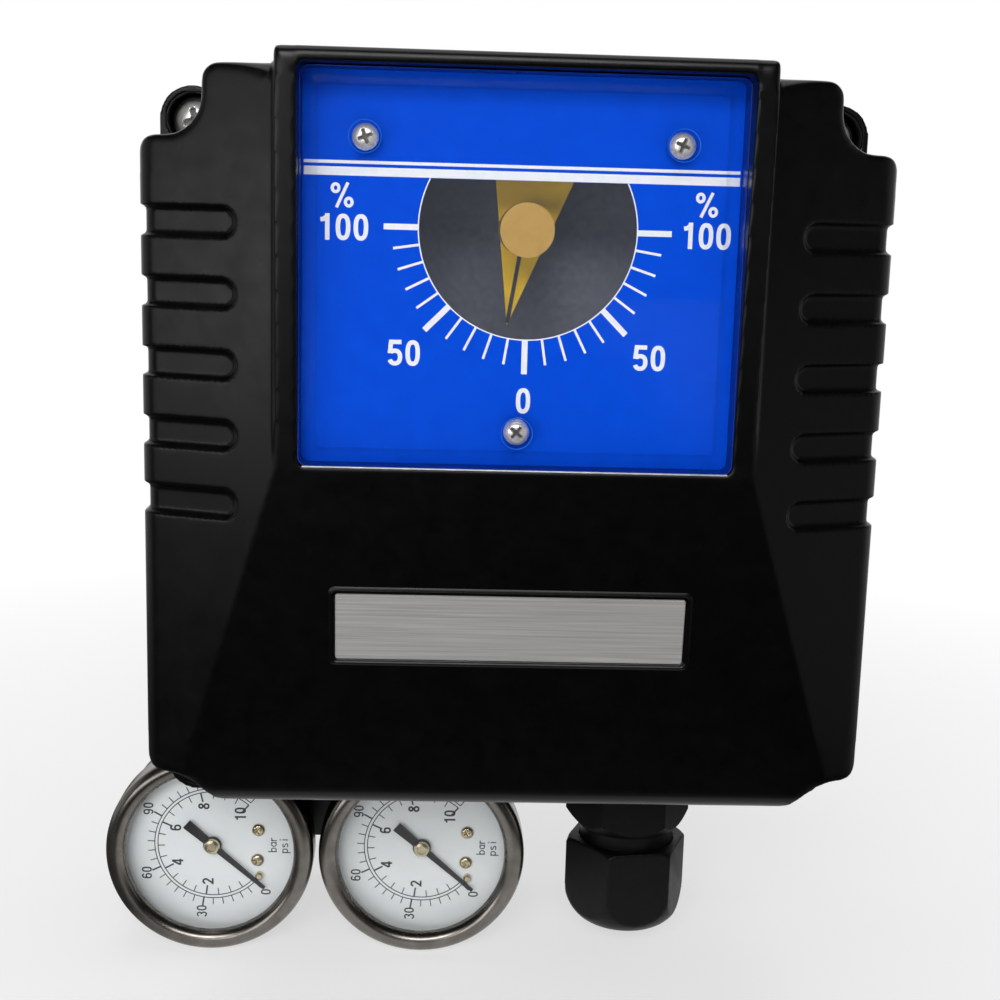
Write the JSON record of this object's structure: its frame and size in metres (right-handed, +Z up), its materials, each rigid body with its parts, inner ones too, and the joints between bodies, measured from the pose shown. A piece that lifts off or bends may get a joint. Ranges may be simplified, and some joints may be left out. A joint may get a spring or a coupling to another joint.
{
  "type": "valve positioner",
  "caption": "Rotary electro-pneumatic valve positioner: cast housing with a screwed cover, dial window and pointer on a feedback shaft, pressure gauges on an air manifold and a cable gland.",
  "frame": {"origin": "feedback shaft axis in the plane of the rear mounting face", "axes": "+Y out of the mounting face along the shaft, +Z up the dial, the dial faces -Y"},
  "size_m": [0.1536, 0.1229, 0.1884],
  "materials": {
    "cast_black": "satin powder coat",
    "gasket": "matte",
    "screw_steel": "satin",
    "window_acrylic": "polished",
    "scale_blue": "printed",
    "plate_aluminium": "brushed",
    "shaft_steel": "ground",
    "bush_bronze": "machined",
    "cam_plate": "plated",
    "pointer_yellow": "gloss",
    "cap_gold": "satin",
    "plate_grey": "matte",
    "lever_aluminium": "machined",
    "spring_steel": "drawn",
    "bobbin_plastic": "matte",
    "coil_copper": "enamelled",
    "magnet_iron": "plated",
    "nozzle_brass": "machined",
    "pilot_aluminium": "anodised",
    "terminal_green": "moulded",
    "gauge_case_black": "satin",
    "bezel_steel": "polished",
    "gauge_glass": "clear",
    "dial_white": "printed",
    "needle_black": "matte",
    "gland_nylon": "moulded"
  },
  "bodies": {
    "housing": {"body": "cast_black", "cover": "cast_black", "cover_gasket": "gasket", "cover_screws": "screw_steel", "window": "window_acrylic", "window_gasket": "gasket", "scale_film": "scale_blue", "window_screws": "screw_steel", "name_plate": "plate_aluminium", "rear_bush": "bush_bronze", "shaft_seal": "gasket", "front_bush": "bush_bronze", "bearing_plate": "plate_grey", "bearing_plate_screws": "screw_steel", "lever_clip": "spring_steel", "motor_base": "pilot_aluminium", "coil_bobbin": "bobbin_plastic", "coil_winding": "coil_copper", "magnets": "magnet_iron", "magnet_yoke": "magnet_iron", "beam_bracket": "lever_aluminium", "nozzle": "nozzle_brass", "nozzle_block": "pilot_aluminium", "zero_bracket": "lever_aluminium", "pilot_block": "pilot_aluminium", "pilot_gasket": "gasket", "pilot_caps": "pilot_aluminium", "pilot_screws": "screw_steel", "terminal_block": "terminal_green", "terminal_screws": "screw_steel", "ground_screw": "screw_steel", "manifold": "cast_black", "manifold_gasket": "gasket", "manifold_screws": "screw_steel", "gland_body": "gland_nylon", "gland_nut": "gland_nylon", "left_gauge_case": "gauge_case_black", "left_gauge_bezel": "bezel_steel", "left_gauge_lens": "gauge_glass", "left_gauge_dial": "dial_white", "right_gauge_case": "gauge_case_black", "right_gauge_bezel": "bezel_steel", "right_gauge_lens": "gauge_glass", "right_gauge_dial": "dial_white"},
    "shaft": {"main_shaft": "shaft_steel", "shaft_clip": "spring_steel", "feedback_cam": "cam_plate", "cam_nut": "shaft_steel", "pointer": "pointer_yellow", "pointer_cap": "cap_gold"},
    "lever": {"span_lever": "lever_aluminium"},
    "roller": {"cam_roller": "shaft_steel"},
    "beam": {"flapper_beam": "shaft_steel", "zero_spring": "spring_steel", "feedback_spring": "spring_steel"},
    "zero_adjuster": {"zero_wheel": "nozzle_brass"},
    "spool": {"pilot_spool": "shaft_steel"},
    "auto_manual": {"auto_manual_screw": "nozzle_brass"},
    "left_needle": {"left_gauge_needle": "needle_black"},
    "right_needle": {"right_gauge_needle": "needle_black"}
  },
  "joints": [
    {"name": "shaft_turn", "type": "hinge", "parent": "housing", "child": "shaft", "pos_m": [0, 0, 0], "axis": [0, 1, 0], "range_deg": [-9, 81]},
    {"name": "lever_swing", "type": "hinge", "parent": "housing", "child": "lever", "pos_m": [0.04, -0.034, -0.022], "axis": [0, 1, 0], "range_deg": [-8.1, 0.9], "deforming": ["feedback_spring"]},
    {"name": "roller_spin", "type": "hinge", "parent": "lever", "child": "roller", "pos_m": [0, -0.042, -0.022], "axis": [0, 1, 0], "continuous": true},
    {"name": "beam_tilt", "type": "hinge", "parent": "housing", "child": "beam", "pos_m": [0.008, -0.034, -0.062], "axis": [0, 1, 0], "range_deg": [-0.8, 0.8], "stiffness_Nm_per_rad": 2},
    {"name": "zero_turn", "type": "hinge", "parent": "housing", "child": "zero_adjuster", "pos_m": [-0.008, -0.034, -0.09], "axis": [0, 0, 1], "continuous": true},
    {"name": "spool_slide", "type": "slide", "parent": "housing", "child": "spool", "axis": [1, 0, 0], "range_m": [-0.001, 0.001], "stiffness_N_per_m": 400},
    {"name": "auto_manual_turn", "type": "hinge", "parent": "housing", "child": "auto_manual", "pos_m": [-0.038, -0.028, -0.09], "axis": [0, 1, 0], "range_deg": [0, 90]},
    {"name": "left_needle_turn", "type": "hinge", "parent": "housing", "child": "left_needle", "pos_m": [-0.0636, -0.037, -0.1369], "axis": [0, 1, 0], "range_deg": [0, 270]},
    {"name": "right_needle_turn", "type": "hinge", "parent": "housing", "child": "right_needle", "pos_m": [-0.0171, -0.037, -0.1369], "axis": [0, 1, 0], "range_deg": [0, 270]}
  ],
  "couplings": [
    {"joint": "lever_swing", "follows": "shaft_turn", "ratio": -0.1}
  ]
}
